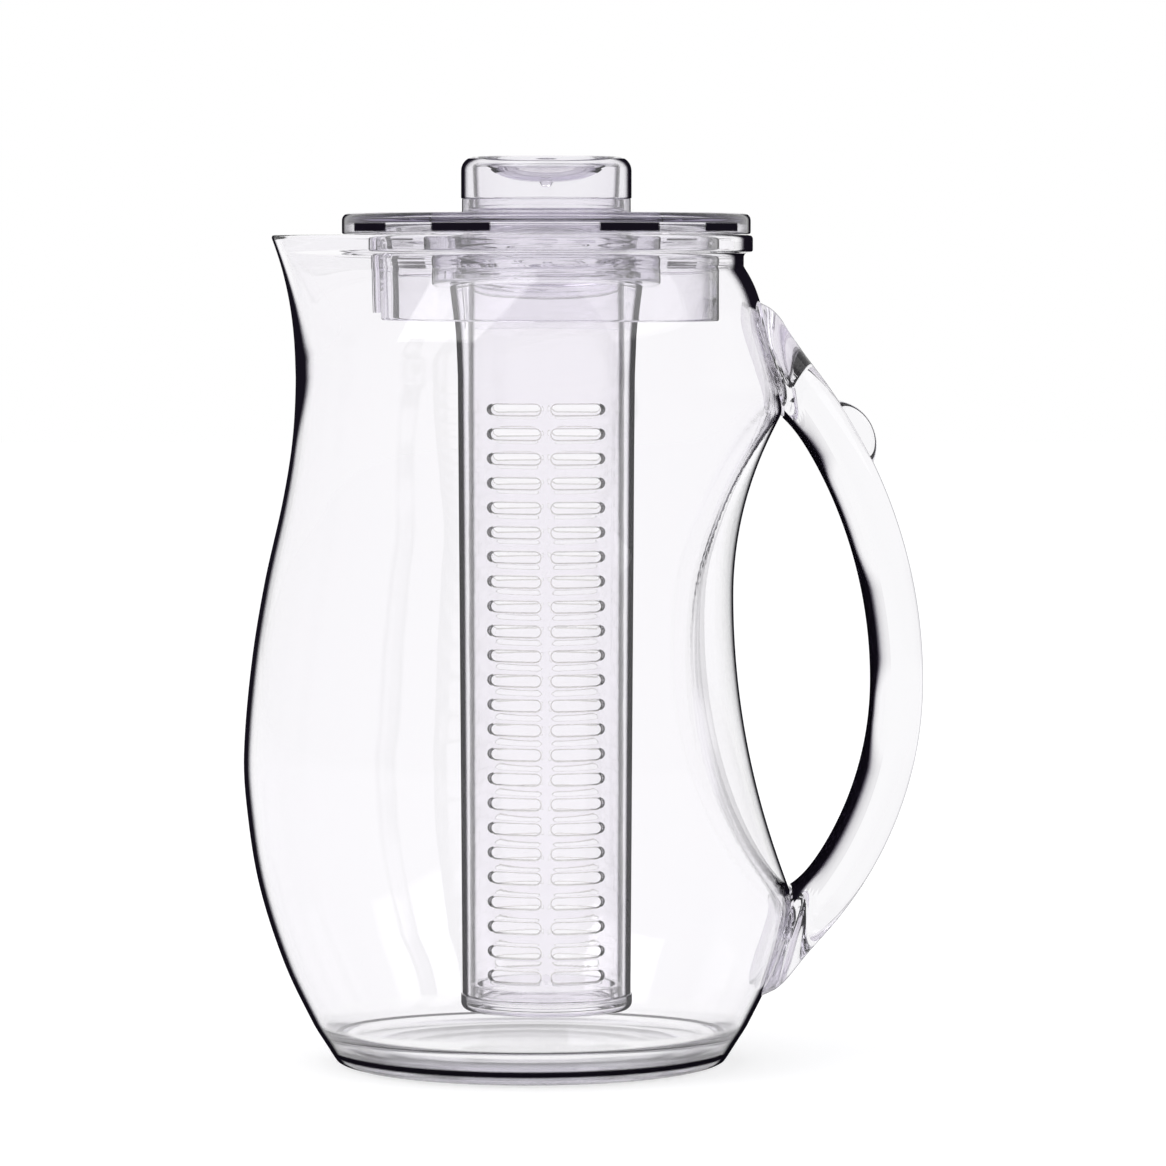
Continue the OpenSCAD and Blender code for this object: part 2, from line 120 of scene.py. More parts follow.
# Lid and knob
LID_GAP, LID_R, LID_EDGE_H, PLATE_T, LIP_W, LID_EDGE_R = 0.2, 58.5, 6.0, 2.8, 3.2, 2.0
GUARD_R, GUARD_T, GUARD_H = 49.5, 2.2, 25.0
WINDOW_W, BAR_W, BAR_COUNT, BAR_SHORT = 34.0, 2.0, 5, 2.0
# Height of the guard left over the window, and the share of its radius that the tool cuts
WINDOW_DROP, WINDOW_DEPTH = 1.0, 0.2
COLLAR_R, COLLAR_H, KNOB_NECK_H, KNOB_NECK_T = 32.8, 12.4, 4.2, 1.7
KNOB_R, KNOB_H, KNOB_T, KNOB_EDGE_R = 24.4, 12.0, 3.2, 4.0
RECESS_R, KNOB_TOP_T, SPIGOT_H, SPIGOT_T = 15.5, 2.2, 3.0, 1.8
# The knob's dish: depth, the power that bends its profile, and its steps
DISH_H, DISH_BEND, DISH_STEPS = 5.4, 0.82, 24
# Moulding nub under the knob's top
NUB_R, NUB_H = 1.1, 1.2

# Infuser tube and its cap
TUBE_BORE_R, TUBE_T, SHOULDER_R, TUBE_TOP_R, TUBE_LOW_R = 22.4, 2.2, 27.6, 25.4, 24.2
TUBE_Z, THREAD_H, THREAD_PITCH, THREAD_GAP, SPIGOT_GAP = 16.0, 1.4, 4.0, 0.5, 0.1
SLOT_ROWS, SLOT_PITCH, SLOT_H, SLOT_W, SLOT_RIB, SLOT_Z = 24, 7.0, 3.0, 14.0, 3.1, 11.5
# Rounded edge of a slot, which widens it on both faces of the wall
SLOT_BEVEL = 0.6
BEVEL_CURVE = [(0.0, 1.0), (0.08, 0.62), (0.3, 0.28), (0.62, 0.08), (1.0, 0.0)]
END_POINTS, SIDE_POINTS = 9, 7
# Spacing of the wall's rows, and how far they keep from a slot's ends and sides
ROW_SPACING, CLEAR_ENDS, CLEAR_SIDES, CLEAR_RIB = 1.75, 0.5, 0.45, 0.3
SLOT_TOLERANCE, FLAT_TOLERANCE = 1e-4, 1e-5
# Steps of the thread's climb, the height over which it fades, and half its width in turns
THREAD_STEP, THREAD_FADE, THREAD_HALF = 0.25, 1.2, 0.32
CAP_H, CAP_EDGE_R, SEAM_W, CAP_SPIGOT_H = 4.5, 3.6, 0.4, 3.0
# Gap between the faces of the end cap and the tube at their seam
SEAM_GAP = 0.05

LID_Z = RIM_H + LID_GAP
LID_TOP = LID_Z + LID_EDGE_H
PLATE_Z = LID_TOP - PLATE_T
KNOB_Z = LID_TOP + KNOB_NECK_H
KNOB_TOP = KNOB_Z + KNOB_H
COLLAR_BORE_R = TUBE_BORE_R + TUBE_T + THREAD_H + THREAD_GAP
KNOB_NECK_R = KNOB_R - KNOB_NECK_T * 0.15
NECK_BORE_R = KNOB_NECK_R - KNOB_NECK_T
NECK_OUT_R = TUBE_BORE_R + TUBE_T
SEAM_Z = TUBE_Z + CAP_H
SHOULDER_Z = LID_Z - COLLAR_H - LID_GAP
TAPER_TOP_Z = SHOULDER_Z - SHOULDER_R
TUBE_TOP = PLATE_Z - LID_GAP
SLOT_LOW, SLOT_HIGH = SEAM_Z + 0.8, TAPER_TOP_Z


# Small helpers

def mix(a, b, t):
    return a + (b - a) * t


def ease(t):
    t = np.clip(t, 0, 1)
    return t * t * (3 - 2 * t)


def soft_max(a, b, k):
    return (a + b + np.sqrt((a - b) ** 2 + k * k)) / 2


def soft_min(a, b, k):
    return (a + b - np.sqrt((a - b) ** 2 + k * k)) / 2


def curve(rows, x):
    """A smooth curve through [place, value] rows, as the construction model draws it."""
    i = int(np.clip(np.searchsorted(rows[:, 0], x, side="right") - 1, 0, len(rows) - 2))
    last = len(rows) - 1

    def slope(k):
        a, b = rows[max(k - 1, 0)], rows[min(k + 1, last)]
        return (b[1] - a[1]) / (b[0] - a[0])

    step = rows[i + 1, 0] - rows[i, 0]
    t = float(np.clip((x - rows[i, 0]) / step, 0, 1))
    return (
        rows[i, 1] * (1 + 2 * t) * (1 - t) ** 2
        + rows[i + 1, 1] * t * t * (3 - 2 * t)
        + slope(i) * step * t * (1 - t) ** 2
        - slope(i + 1) * step * t * t * (1 - t)
    )


def rounded(corners, steps=6):
    """An outline through (r, z, fillet radius) corners, with each fillet as an arc."""
    points = []
    count = len(corners)
    for i, (x, z, radius) in enumerate(corners):
        here = np.array((x, z))
        if radius <= 0:
            points.append(here)
            continue
        before = np.array(corners[i - 1][:2]) - here
        after = np.array(corners[(i + 1) % count][:2]) - here
        la, lb = np.linalg.norm(before), np.linalg.norm(after)
        u, v = before / la, after / lb
        half = acos(float(np.clip(u @ v, -1, 1))) / 2
        reach = min(radius / tan(half), la * 0.49, lb * 0.49)
        radius = reach * tan(half)
        middle = here + (u + v) / np.linalg.norm(u + v) * radius / sin(half)
        start, end = here + u * reach - middle, here + v * reach - middle
        turn = pi - 2 * half
        side = copysign(1, start[0] * end[1] - start[1] * end[0])
        for k in range(steps + 1):
            a = side * turn * k / steps
            c, s = cos(a), sin(a)
            points.append(middle + (start[0] * c - start[1] * s, start[0] * s + start[1] * c))
    return points


def add_object(name, data):
    item = bpy.data.objects.new(name, data)
    bpy.context.scene.collection.objects.link(item)
    return item


def finish_mesh(name, verts, faces, body, nodes, slot_name, sharp=SHARP):
    """Makes a piece from millimetre points, closes it up and puts it on its body."""
    mesh = bpy.data.meshes.new(name)
    mesh.from_pydata([tuple(float(c) * MM for c in v) for v in verts], [], faces)
    bm = bmesh.new()
    bm.from_mesh(mesh)
    bmesh.ops.remove_doubles(bm, verts=bm.verts, dist=JOIN_DIST)
    bmesh.ops.dissolve_degenerate(bm, edges=bm.edges, dist=THIN_DIST)
    bmesh.ops.recalc_face_normals(bm, faces=bm.faces)
    bm.to_mesh(mesh)
    bm.free()
    smooth(mesh, sharp)
    piece = add_object(name, mesh)
    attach(piece, body)
    if nodes:
        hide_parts(*nodes)
    return piece


def smooth(mesh, sharp):
    """Smooth shading, apart from edges that turn more than an angle in degrees."""
    for p in mesh.polygons:
        p.use_smooth = True
    mesh.set_sharp_from_angle(angle=radians(sharp))


def strip_faces(low, high, count):
    """Quads between two closed rings of points that start at these indices."""
    return [
        (low + i, low + (i + 1) % count, high + (i + 1) % count, high + i)
        for i in range(count)
    ]


def ring_stack(rings, loop=False):
    """Points and faces of a skin through rings; a ring of one point is a pole."""
    verts, faces, starts = [], [], []
    for ring in rings:
        starts.append(len(verts))
        verts.extend(ring)
    pairs = list(zip(range(len(rings) - 1), range(1, len(rings))))
    if loop:
        pairs.append((len(rings) - 1, 0))
    for a, b in pairs:
        na, nb = len(rings[a]), len(rings[b])
        if na == 1 and nb > 1:
            faces += [(starts[a], starts[b] + (i + 1) % nb, starts[b] + i) for i in range(nb)]
        elif nb == 1 and na > 1:
            faces += [(starts[a] + i, starts[a] + (i + 1) % na, starts[b]) for i in range(na)]
        elif na > 1:
            faces += strip_faces(starts[a], starts[b], na)
    return verts, faces


def circle_ring(r, z, steps=TURN_STEPS, x=MOUTH_X):
    """A level ring of points, or its middle alone where it has no radius."""
    if r < NO_RADIUS:
        return [(x, 0.0, z)]
    turn = 2 * pi / steps
    return [(x + r * cos(i * turn), r * sin(i * turn), z) for i in range(steps)]


def lathe(outline, closed):
    """Turns an outline of (r, z) points about the mouth's axis."""
    return ring_stack([circle_ring(r, z) for r, z in outline], loop=closed)


# Jug

def shoulder_turn(z):
    return float(np.clip((z - SHOULDER_LOW) / (SHOULDER_TOP - SHOULDER_LOW), 0, 1))


def spout_turn(z):
    return float(np.clip((z - FLARE_LOW) / (RIM_H - FLARE_LOW), 0, 1))


def centre_x(z):
    return MOUTH_X * float(ease(shoulder_turn(z)))


def side_x(z):
    """Reach of the jug towards the handle, without scoop and swell."""
    if z < SHOULDER_LOW:
        return BELLY_R * curve(BELLY_SHARES, z / RIM_H)
    return mix(WAIST_R, NECK_R + MOUTH_X, shoulder_turn(z) ** SHOULDER_POWER)


def body_r(z):
    return side_x(z) - centre_x(z)


def tip_x(z):
    """Reach of the jug towards the spout."""
    return side_x(z) if z < FLARE_LOW else mix(WAIST_R, SPOUT_X, spout_turn(z) ** FLARE_POWER)


def scoop_face(z, y):
    """Where the scoop's face lies."""
    r = SCOOP_TOP_R if z > SCOOP_H else SCOOP_LOW_R
    dz = z - SCOOP_H
    return SCOOP_X + r - sqrt(max(r * r - dz * dz, 0)) - y * y / (2 * SCOOP_PLAN_R)


def hip_stretch(z):
    """How much the half towards the handle is drawn out above the scoop."""
    reach = HIP_FALL if z < HIP_H else HIP_RISE
    return 1 + HIP_OUT * (1 - float(ease(abs(z - HIP_H) / reach))) / body_r(z)


def skin_ring(z, inset, band=0.0):
    """The jug's plan at a height, drawn in by inset and out by the rim's band."""
    a = np.arange(PLAN_STEPS) * 2 * np.pi / PLAN_STEPS
    cx, r = centre_x(z), body_r(z)
    tip_r = mix(r * LOBE_SHARE, SPOUT_R, float(ease(spout_turn(z))))
    tip_c = tip_r - tip_x(z)
    k = LOBE_SOFT * float(ease(spout_turn(z)))

    def reach(angle):
        return soft_max(cx * np.cos(angle) + r, tip_c * np.cos(angle) + tip_r, k)

    step = 1e-3
    out = RIM_W * (1 - ease((-np.cos(a) - BAND_START) / BAND_FADE)) * band
    h = reach(a) - inset + out
    s = (reach(a + step) - reach(a - step)) / (2 * step)
    x = h * np.cos(a) - s * np.sin(a)
    y = h * np.sin(a) + s * np.cos(a)
    x = np.where(x > 0, x * hip_stretch(z), x)
    x = soft_min(x, scoop_face(z, y) - inset, SCOOP_SOFT)
    return [(px, py, z) for px, py in zip(x, y)]


def disc_ring(r, z):
    return circle_ring(r, z, PLAN_STEPS, 0.0)


def jug_outer_rings():
    corner_z, corner_r = RIM_H * BELLY_SHARES[0, 0], BELLY_R * BELLY_SHARES[0, 1]
    rim_low = RIM_H - RIM_T
    low, body, neck = OUTER_RINGS
    heights = np.concatenate([
        np.linspace(corner_z, RINGS_LOW, low), np.linspace(RINGS_BODY, SHOULDER_LOW, body),
        np.linspace(SHOULDER_LOW + 1, rim_low - SOFT, neck),
    ])
    rings = [disc_ring(FOOT_R, 0.0)]
    rings += [disc_ring(mix(FOOT_R, corner_r, out), corner_z * up) for out, up in FOOT_TURN]
    rings += [skin_ring(z, 0) for z in heights]
    rings += [skin_ring(rim_low + SOFT * up, 0, band) for up, band in RIM_LIP]
    rings += [skin_ring(z, 0, 1) for z in np.linspace(rim_low + SOFT, RIM_H - SOFT, RIM_RINGS)]
    turn = np.radians(np.linspace(15, 90, 6))
    rings += [
        skin_ring(RIM_H - SOFT * (1 - sin(t)), SOFT * (1 - cos(t)), 1) for t in turn
    ]
    return rings


def jug_inner_rings():
    turn = np.radians(np.linspace(90, 0, 7))
    rings = [
        skin_ring(RIM_H - SOFT * (1 - sin(t)), WALL - SOFT * (1 - cos(t))) for t in turn
    ]
    low, body, neck = INNER_RINGS
    heights = np.concatenate([
        np.linspace(RIM_H - SOFT * 2, SHOULDER_LOW, neck),
        np.linspace(SHOULDER_LOW - 3, RINGS_BODY, body),
        np.linspace(RINGS_LOW, FLOOR_Z + HEEL_H, low),
    ])
    rings += [skin_ring(z, WALL) for z in heights]
    wall_r = body_r(FLOOR_Z + HEEL_H) - WALL
    rings += [disc_ring(wall_r * share, FLOOR_Z + WALL * up) for share, up in HEEL]
    rings += [disc_ring(FOOT_R * share, FLOOR_Z) for share in FLOOR_SHARES]
    rings.append(disc_ring(0, FLOOR_Z))
    return rings


def jug_punt_rings():
    """The hollow under the base."""
    punt_r = FOOT_R - FOOT_W
    rings = [disc_ring(0, PUNT_H)]
    for t in np.linspace(PUNT_FIRST, 1, PUNT_RINGS):
        rings.append(disc_ring(punt_r * t, PUNT_H * (1 - t ** PUNT_POWER)))
    return rings


def make_jug():
    skin = ring_stack(jug_punt_rings() + jug_outer_rings() + jug_inner_rings())
    return finish_mesh("jug_shell", *skin, "vessel", ["jug"], "jug_acrylic", SHARP_SKIN)


# Handle

def skin_x(y, z):
    """Where the jug's outer skin lies on the handle's side."""
    r = body_r(z)
    x = (centre_x(z) + sqrt(max(r * r - y * y, 0))) * hip_stretch(z)
    return float(soft_min(x, scoop_face(z, y), SCOOP_SOFT))


def bow_section():
    """Points of the bow's section: offset outwards from its middle line, and across."""
    half_t, half_w = HANDLE_T / 2, HANDLE_W / 2
    corners = [(half_t, half_w), (-half_t, half_w), (-half_t, -half_w), (half_t, -half_w)]
    outline = rounded([(x, y, HANDLE_EDGE_R) for x, y in corners], 10)
    dense = []
    for i, p in enumerate(outline):
        q = outline[(i + 1) % len(outline)]
        parts = max(1, round(float(np.linalg.norm(q - p)) / BOW_SPACING))
        dense += [mix(p, q, k / parts) for k in range(parts)]
    return dense


def bow_point(arc_r, side, offset, across, turn):
    """A point of the upper half, side 1, or of the lower half, side -1, of the bow."""
    x0 = HANDLE_X - arc_r
    r = arc_r - HANDLE_T / 2 + offset
    return np.array((x0 + r * cos(turn), across, HANDLE_H + side * r * sin(turn)))


def wall_turn(arc_r, side, offset, across):
    """The angle at which a line of the bow meets the jug's skin."""
    low, high = map(radians, WALL_TURNS)
    for _ in range(HALVINGS):
        mid = (low + high) / 2
        p = bow_point(arc_r, side, offset, across, mid)
        if p[0] > skin_x(across, p[2]) + HANDLE_GAP:
            low = mid
        else:
            high = mid
    return low


def bow_half(arc_r, side, section):
    """Rings from the widest point of the bow to its root on the wall."""
    ends = [
        wall_turn(arc_r, side, o * (1 + FLARE_T), w * (1 + FLARE_Y)) for o, w in section
    ]
    rings = []
    for k in range(BOW_RINGS + 1):
        share = 1 - (1 - k / BOW_RINGS) ** BOW_CROWD
        ring = []
        for (o, w), end in zip(section, ends):
            turn = end * share
            near = exp(-((end - turn) * arc_r / FLARE_REACH) ** FLARE_BEND)
            swell = exp(-((end - turn) * arc_r / FLARE_OUT_REACH) ** 2) * (1 - near)
            out = o * (1 + FLARE_T * near) + FLARE_OUT * swell * max(o, 0) / HANDLE_T * 2
            ring.append(bow_point(arc_r, side, out, w * (1 + FLARE_Y * near), turn))
        rings.append(ring)
    return rings


def root_rings(ring):
    """Closes a root with rings that lie along the jug's wall."""
    middle = np.mean(ring, axis=0)
    rings = []
    for t in ROOT_SHARES:
        inner = []
        for p in ring:
            q = mix(middle, p, t)
            inner.append((skin_x(q[1], q[2]) + HANDLE_GAP, q[1], q[2]))
        rings.append(inner)
    rings.append([(skin_x(middle[1], middle[2]) + HANDLE_GAP, middle[1], middle[2])])
    return rings


def make_handle():
    section = bow_section()
    top = bow_half(HANDLE_TOP_R, 1, section)
    low = bow_half(HANDLE_LOW_R, -1, section)
    rings = root_rings(top[-1])[::-1] + top[::-1] + low[1:] + root_rings(low[-1])
    bow = finish_mesh("handle_bow", *ring_stack(rings), "vessel", ["handle"], "jug_acrylic",
                      SHARP_SKIN)
    join_thumb_rest(bow)
    cut_pocket(bow, *POCKET_TOP)
    cut_pocket(bow, *POCKET_LOW)
    smooth(bow.data, SHARP_HANDLE)
    return bow


def cut_pocket(bow, x, z, half_h, depth, half_w, lean):
    """Hollows the root where it is joined to the wall, as a dome that opens to the wall."""
    lean = radians(lean)
    rings = []
    for i in range(POCKET_RINGS + 1):
        a = pi * i / POCKET_RINGS
        ring = []
        for k in range(POCKET_SIDES):
            b = 2 * pi * k / POCKET_SIDES
            out = depth * sin(a) * cos(b)
            along = half_h * cos(a)
            ring.append((x + out * cos(lean) - along * sin(lean),
                         half_w * sin(a) * sin(b),
                         z + out * sin(lean) + along * cos(lean)))
        rings.append(ring if 0 < i < POCKET_RINGS else ring[:1])
    dome = finish_mesh("root_pocket", *ring_stack(rings), "vessel", [], "jug_acrylic")
    apply_boolean(bow, dome, "DIFFERENCE")


def join_thumb_rest(bow):
    """Fuses the thumb rest, the outer half of a disc on edge, into the bow."""
    outline = rounded([(0, -THUMB_W / 2, 0), (THUMB_R, -THUMB_W / 2, THUMB_EDGE_R),
                       (THUMB_R, THUMB_W / 2, THUMB_EDGE_R), (0, THUMB_W / 2, 0)], 8)
    turn = radians(THUMB_TURN)
    reach = HANDLE_TOP_R + THUMB_OUT - THUMB_R
    x0 = HANDLE_X - HANDLE_TOP_R + reach * cos(turn)
    z0 = HANDLE_H + reach * sin(turn)
    rings = []
    for r, y in outline:
        ring = []
        for i in range(THUMB_SIDES):
            a = turn + 2 * pi * i / THUMB_SIDES
            back = -cos(a - turn)
            shrink = 1.0 if back < THUMB_BACK else THUMB_BACK / back
            ring.append((x0 + r * shrink * cos(a), y, z0 + r * shrink * sin(a)))
        rings.append(ring if r > 0 else ring[:1])
    disc = finish_mesh("thumb_disc", *ring_stack(rings), "vessel", [], "jug_acrylic")
    apply_boolean(bow, disc, "UNION")


def apply_boolean(piece, tool, operation):
    """Cuts or fuses piece with tool, keeps the result as its mesh and removes the tool."""
    mod = piece.modifiers.new("cut", "BOOLEAN")
    mod.operation = operation
    mod.solver = "EXACT"
    mod.object = tool
    graph = bpy.context.evaluated_depsgraph_get()
    made = bpy.data.meshes.new_from_object(piece.evaluated_get(graph))
    piece.modifiers.clear()
    old = piece.data
    piece.data = made
    bpy.data.meshes.remove(old)
    bpy.data.objects.remove(tool)


# Lid

def make_lid():
    """The lid as one turned outline, each corner of which has its own fillet."""
    collar_low, guard_low = LID_Z - COLLAR_H, LID_Z - GUARD_H
    lip_in = LID_R - LIP_W
    outline = rounded([
        (NECK_BORE_R, PLATE_Z, 0.4), (COLLAR_BORE_R, PLATE_Z, 0.3),
        (COLLAR_BORE_R, collar_low, 0.6), (COLLAR_R, collar_low, 0.8),
        (COLLAR_R, PLATE_Z, 0.9), (GUARD_R - GUARD_T, PLATE_Z, 0.7),
        (GUARD_R - GUARD_T, guard_low, 0.8), (GUARD_R, guard_low, 0.8),
        (GUARD_R, PLATE_Z, 0.7), (lip_in, PLATE_Z, 0.7), (lip_in, LID_Z, 0.5),
        (LID_R, LID_Z, 0.7), (LID_R, LID_TOP, LID_EDGE_R),
        (KNOB_NECK_R, LID_TOP, 0.8), (KNOB_NECK_R, KNOB_Z, 0.3), (NECK_BORE_R, KNOB_Z, 0.3),
    ], 6)
    lid = finish_mesh("lid_plate", *lathe(outline, True), "cover", ["lid"], "lid_acrylic")
    cut_pouring_window(lid)
    return lid


def cut_pouring_window(lid):
    """Opens the guard ring towards the spout, and leaves the upright bars standing."""
    low, top = LID_Z - GUARD_H, PLATE_Z - WINDOW_DROP
    x_low, x_high = MOUTH_X - GUARD_R - OVER, MOUTH_X - GUARD_R * (1 - WINDOW_DEPTH)
    step = WINDOW_W / (BAR_COUNT + 1)
    comb = [(-WINDOW_W / 2, low - OVER), (-WINDOW_W / 2, top)]
    for i in range(1, BAR_COUNT + 1):
        left = i * step - WINDOW_W / 2 - BAR_W / 2
        comb += [(left, top), (left, low + BAR_SHORT),
                 (left + BAR_W, low + BAR_SHORT), (left + BAR_W, top)]
    comb += [(WINDOW_W / 2, top), (WINDOW_W / 2, low - OVER)]
    count = len(comb)
    verts = [(x, y, z) for x in (x_low, x_high) for y, z in comb]
    faces = [tuple(range(count)), tuple(range(2 * count - 1, count - 1, -1))]
    faces += strip_faces(0, count, count)
    tool = finish_mesh("window_tool", verts, faces, "cover", [], "lid_acrylic")
    apply_boolean(lid, tool, "DIFFERENCE")
    smooth(lid.data, SHARP)


def make_knob():
    """The knob's cap, whose dish and the underside below it run in parallel."""
    inner = KNOB_R - KNOB_T
    spigot_out = NECK_BORE_R - SPIGOT_GAP
    dish, under = [], []
    for i in range(DISH_STEPS + 1):
        a = pi / 2 * i / DISH_STEPS
        r, drop = sin(a) ** DISH_BEND, cos(a) ** DISH_BEND
        dish.append((RECESS_R * r, KNOB_TOP - DISH_H * drop, 0))
        below = (DISH_H + KNOB_TOP_T) * drop
        if below > KNOB_TOP_T and r > 0.1:
            under.append(((RECESS_R + KNOB_TOP_T) * r, KNOB_TOP - below, 0))
    under = under[::-1]
    dish[-1] = (*dish[-1][:2], 0.9)
    under[0] = (*under[0][:2], 0.5)
    nub_z = under[-1][1] - NUB_H
    outline = rounded(dish + [
        (KNOB_R, KNOB_TOP, KNOB_EDGE_R), (KNOB_R, KNOB_Z, 0.4), (spigot_out, KNOB_Z, 0.15),
        (spigot_out, KNOB_Z - SPIGOT_H, 0.5), (spigot_out - SPIGOT_T, KNOB_Z - SPIGOT_H, 0.5),
        (inner - 0.3, KNOB_Z + KNOB_TOP_T, 0.6), (inner, KNOB_TOP - KNOB_TOP_T, 1.4),
    ] + under + [(NUB_R, nub_z, 0.5), (0, nub_z, 0)], 8)
    turned = lathe(outline, False)
    return finish_mesh("knob_shell", *turned, "cover", ["knob_cap"], "lid_acrylic")


# Infuser tube

def taper(z):
    """Share of the tube's taper that lies below a height."""
    return min(max((z - SEAM_Z) / (TAPER_TOP_Z - SEAM_Z), 0), 1)


def outer_r(z):
    return mix(TUBE_LOW_R, TUBE_TOP_R, taper(z))


def inner_r(z):
    return mix(TUBE_LOW_R - TUBE_T, TUBE_BORE_R, taper(z))


def slot_centres():
    return [
        (side * (SLOT_RIB + SLOT_W) / 2, TUBE_Z + SLOT_Z + k * SLOT_PITCH)
        for k in range(SLOT_ROWS) for side in (-1, 1)
    ]


def slot_outline(grow):
    """A stadium about the origin, with its ends as half circles."""
    r, half = SLOT_H / 2 + grow, (SLOT_W - SLOT_H) / 2
    points = []
    for side in (1, -1):
        for i in range(END_POINTS):
            a = pi * i / (END_POINTS - 1) - pi / 2
            points.append((side * (half + r * cos(a)), side * r * sin(a)))
        for i in range(1, SIDE_POINTS):
            points.append((side * half * (1 - 2 * i / SIDE_POINTS), side * r))
    return points


def on_wall(x, z, r, front):
    """The point of a wall of radius r that lies x across and faces the front or the back."""
    a = asin(max(-1, min(1, x / r)))
    return (MOUTH_X + r * sin(a), front * r * cos(a), z)


def slot_row(z):
    """The number of the row of slots nearest to a height, counted from the lowest."""
    return round((z - TUBE_Z - SLOT_Z) / SLOT_PITCH)


def beside_slot(across, z):
    """Whether a point of the wall is too close to a slot to be part of the plain mesh."""
    low = SLOT_RIB / 2 - SLOT_BEVEL - CLEAR_RIB
    high = SLOT_RIB / 2 + SLOT_W + SLOT_BEVEL + CLEAR_ENDS
    row = min(max(slot_row(z), 0), SLOT_ROWS - 1)
    up = abs(z - (TUBE_Z + SLOT_Z + row * SLOT_PITCH))
    return low < across < high and up < SLOT_H / 2 + SLOT_BEVEL + CLEAR_SIDES


def in_slot(x, z):
    """Whether a point of the wall, x across and z up, is in the opening of a slot."""
    row = slot_row(z)
    if not 0 <= row < SLOT_ROWS:
        return False
    past = max(abs(x - copysign((SLOT_RIB + SLOT_W) / 2, x)) - (SLOT_W - SLOT_H) / 2, 0)
    up = z - (TUBE_Z + SLOT_Z + row * SLOT_PITCH)
    return hypot(past, up) < SLOT_H / 2 + SLOT_BEVEL - SLOT_TOLERANCE


def slot_loops(radius):
    """The outline of every slot on a wall, as (angle, height) points."""
    loops = []
    for cx, cz in slot_centres():
        for front in (-1, 1):
            loop = []
            for x, z in slot_outline(SLOT_BEVEL):
                a = asin((cx + x) / radius(cz + z))
                turn = front * pi / 2 + (a if front < 0 else -a)
                loop.append((turn % (2 * pi), cz + z))
            loops.append(loop)
    return loops


def wall_skin(radius):
    """A tube wall with its slots left out, triangulated flat and then rolled up."""
    mean_r = radius((SLOT_LOW + SLOT_HIGH) / 2)
    rows = int((SLOT_HIGH - SLOT_LOW) / ROW_SPACING)
    points, edges = [], []
    for k, z in enumerate(np.linspace(SLOT_LOW, SLOT_HIGH, rows + 1)):
        for i in range(TURN_STEPS + 1):
            a = 2 * pi * i / TURN_STEPS
            if not (0 < k < rows and beside_slot(abs(mean_r * cos(a)), z)):
                points.append(Vector((a * mean_r, z)))
    for loop in slot_loops(radius):
        start = len(points)
        points += [Vector((a * mean_r, z)) for a, z in loop]
        edges += [(start + i, start + (i + 1) % len(loop)) for i in range(len(loop))]
    verts, _, tris, *_ = delaunay_2d_cdt(points, edges, [], 0, FLAT_TOLERANCE)
    keep = []
    for tri in tris:
        turn = sum(verts[i][0] for i in tri) / 3 / mean_r
        z = sum(verts[i][1] for i in tri) / 3
        if not in_slot(radius(z) * cos(turn), z):
            keep.append(tuple(tri))
    made = []
    for u, z in verts:
        a, r = u / mean_r, radius(z)
        made.append((MOUTH_X + r * cos(a), r * sin(a), z))
    return made, keep


def slot_walls():
    """The rounded edges and the sides of every slot."""
    loops = [(outer_r, -depth, grow) for depth, grow in BEVEL_CURVE]
    loops += [(inner_r, depth, grow) for depth, grow in BEVEL_CURVE[::-1]]
    count = len(slot_outline(0))
    verts, faces = [], []
    for cx, cz in slot_centres():
        for front in (-1, 1):
            starts = []
            for radius, depth, grow in loops:
                starts.append(len(verts))
                for x, z in slot_outline(grow * SLOT_BEVEL):
                    r = radius(cz + z) + depth * SLOT_BEVEL
                    verts.append(on_wall(cx + x, cz + z, r, front))
            for a, b in zip(starts, starts[1:]):
                faces += strip_faces(a, b, count)
    return verts, faces


def neck_rings():
    """The tube above its slots, from the shoulder up the thread and back down the bore."""
    shoulder = rounded([
        (outer_r(TAPER_TOP_Z), TAPER_TOP_Z, 0),
        (mix(TUBE_TOP_R, SHOULDER_R, 0.2), SHOULDER_Z - SHOULDER_R * 0.6, 3),
        (mix(TUBE_TOP_R, SHOULDER_R, 0.55), SHOULDER_Z - SHOULDER_R * 0.3, 3),
        (SHOULDER_R, SHOULDER_Z - 0.6, 0.5), (SHOULDER_R, SHOULDER_Z, 0.5),
        (NECK_OUT_R, SHOULDER_Z, 0.4), (NECK_OUT_R, SHOULDER_Z + 1, 0),
    ], 5)
    rings = [circle_ring(r, z) for r, z in shoulder]
    low, high = SHOULDER_Z + 1.3, TUBE_TOP - 1.6
    for z in np.arange(low, high, THREAD_STEP):
        rings.append(thread_ring(z, low, high))
    mouth = rounded([
        (NECK_OUT_R, high + 0.1, 0), (NECK_OUT_R, TUBE_TOP, 0.6),
        (TUBE_BORE_R, TUBE_TOP, 0.6), (inner_r(TAPER_TOP_Z), TAPER_TOP_Z, 0),
    ], 5)
    rings += [circle_ring(r, z) for r, z in mouth]
    return rings


def thread_ring(z, low, high):
    """One level of the neck, with the thread as a ridge that climbs as it turns."""
    fade = float(ease((z - low) / THREAD_FADE) * ease((high - z) / THREAD_FADE))
    ring = []
    for i in range(TURN_STEPS):
        phase = (z / THREAD_PITCH - i / TURN_STEPS) % 1.0
        ridge = float(ease(1 - abs(phase - 0.5) / THREAD_HALF))
        a = 2 * pi * i / TURN_STEPS
        r = NECK_OUT_R + THREAD_H * ridge * fade
        ring.append((MOUTH_X + r * cos(a), r * sin(a), z))
    return ring


def add_part(verts, faces, more_verts, more_faces):
    start = len(verts)
    verts += more_verts
    faces += [tuple(i + start for i in f) for f in more_faces]


